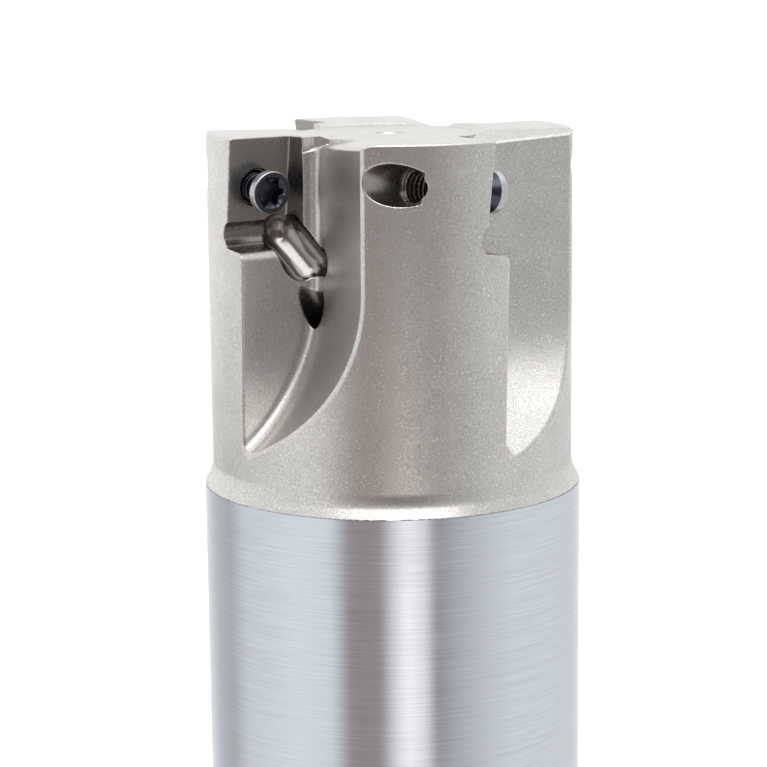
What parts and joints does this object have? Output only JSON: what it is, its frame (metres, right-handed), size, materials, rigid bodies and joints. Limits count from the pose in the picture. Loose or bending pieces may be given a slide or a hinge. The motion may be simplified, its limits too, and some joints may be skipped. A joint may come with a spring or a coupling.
{
  "type": "face mill",
  "caption": "Indexable face and shoulder mill with a plain cylindrical shank, insert seats with clamping screws, curved chip gullets and coolant holes.",
  "frame": {"origin": "centre of the shank's end face", "axes": "+Z along the tool's axis, from the shank to the cutting end; +X is 33 degrees before the first insert seat"},
  "size_m": [0.032, 0.032, 0.15],
  "materials": {
    "plated_steel": "satin nickel plating over a blasted surface",
    "ground_steel": "fine cylindrical grinding, bare steel",
    "black_oxide_steel": "black oxide, bright worn edges"
  },
  "bodies": {
    "mill_body": {"mill_body": "plated_steel"},
    "insert_screw_1": {"insert_screw_1": "black_oxide_steel"},
    "insert_screw_2": {"insert_screw_2": "black_oxide_steel"},
    "insert_screw_3": {"insert_screw_3": "black_oxide_steel"},
    "insert_screw_4": {"insert_screw_4": "black_oxide_steel"}
  },
  "joints": [
    {"name": "screw_travel_1", "type": "slide", "parent": "mill_body", "child": "insert_screw_1", "axis": [-0.5821, 0.8042, -0.1201], "range_m": [-0.0011, 0.0042]},
    {"name": "screw_travel_2", "type": "slide", "parent": "mill_body", "child": "insert_screw_2", "axis": [-0.8042, -0.5821, -0.1201], "range_m": [-0.0011, 0.0042]},
    {"name": "screw_travel_3", "type": "slide", "parent": "mill_body", "child": "insert_screw_3", "axis": [0.5821, -0.8042, -0.1201], "range_m": [-0.0011, 0.0042]},
    {"name": "screw_travel_4", "type": "slide", "parent": "mill_body", "child": "insert_screw_4", "axis": [0.8042, 0.5821, -0.1201], "range_m": [-0.0011, 0.0042]}
  ]
}
